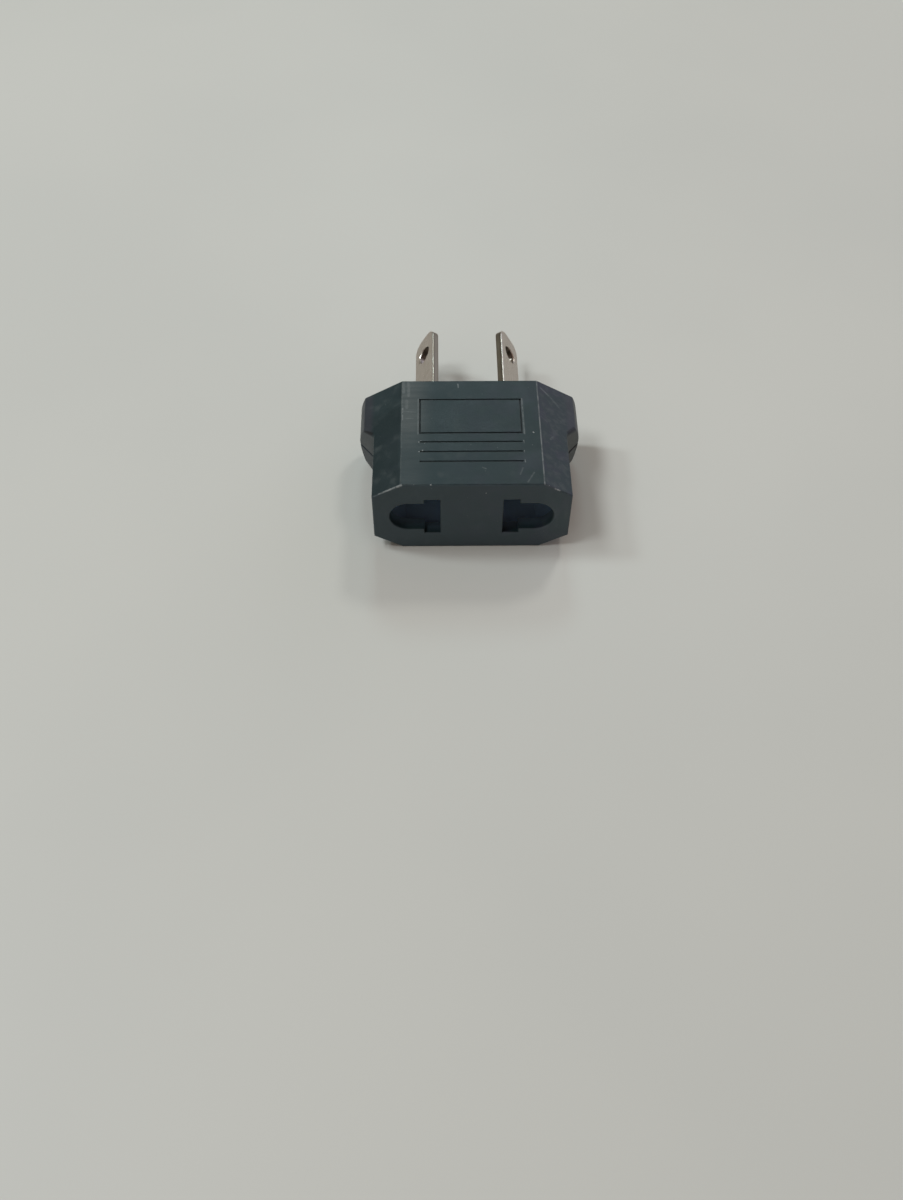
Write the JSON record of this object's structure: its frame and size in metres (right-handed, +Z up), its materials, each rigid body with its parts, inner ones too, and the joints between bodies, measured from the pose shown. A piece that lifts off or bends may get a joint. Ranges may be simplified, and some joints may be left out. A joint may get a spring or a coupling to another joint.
{
  "type": "plug adapter",
  "caption": "Compact eight-sided travel plug adapter with slanted flat blades at one end, combined flat and round pin sockets at the other, and thumb grips on its sides.",
  "frame": {"origin": "centre of the part's footprint, on the surface it lies on", "axes": "+Y from the sockets to the blade tips, +Z up from the broad face it lies on, +X to the right seen from the sockets"},
  "size_m": [0.0352, 0.0408, 0.0142],
  "materials": {
    "housing_plastic": "satin moulded",
    "plate_plastic": "satin moulded",
    "blade_metal": "nickel plated, rubbed",
    "contact_brass": "rolled sheet"
  },
  "bodies": {
    "root": {"housing": "housing_plastic", "base_plate": "plate_plastic", "blade_left": "blade_metal", "blade_right": "blade_metal", "contact_left": "contact_brass", "contact_right": "contact_brass"}
  },
  "joints": []
}
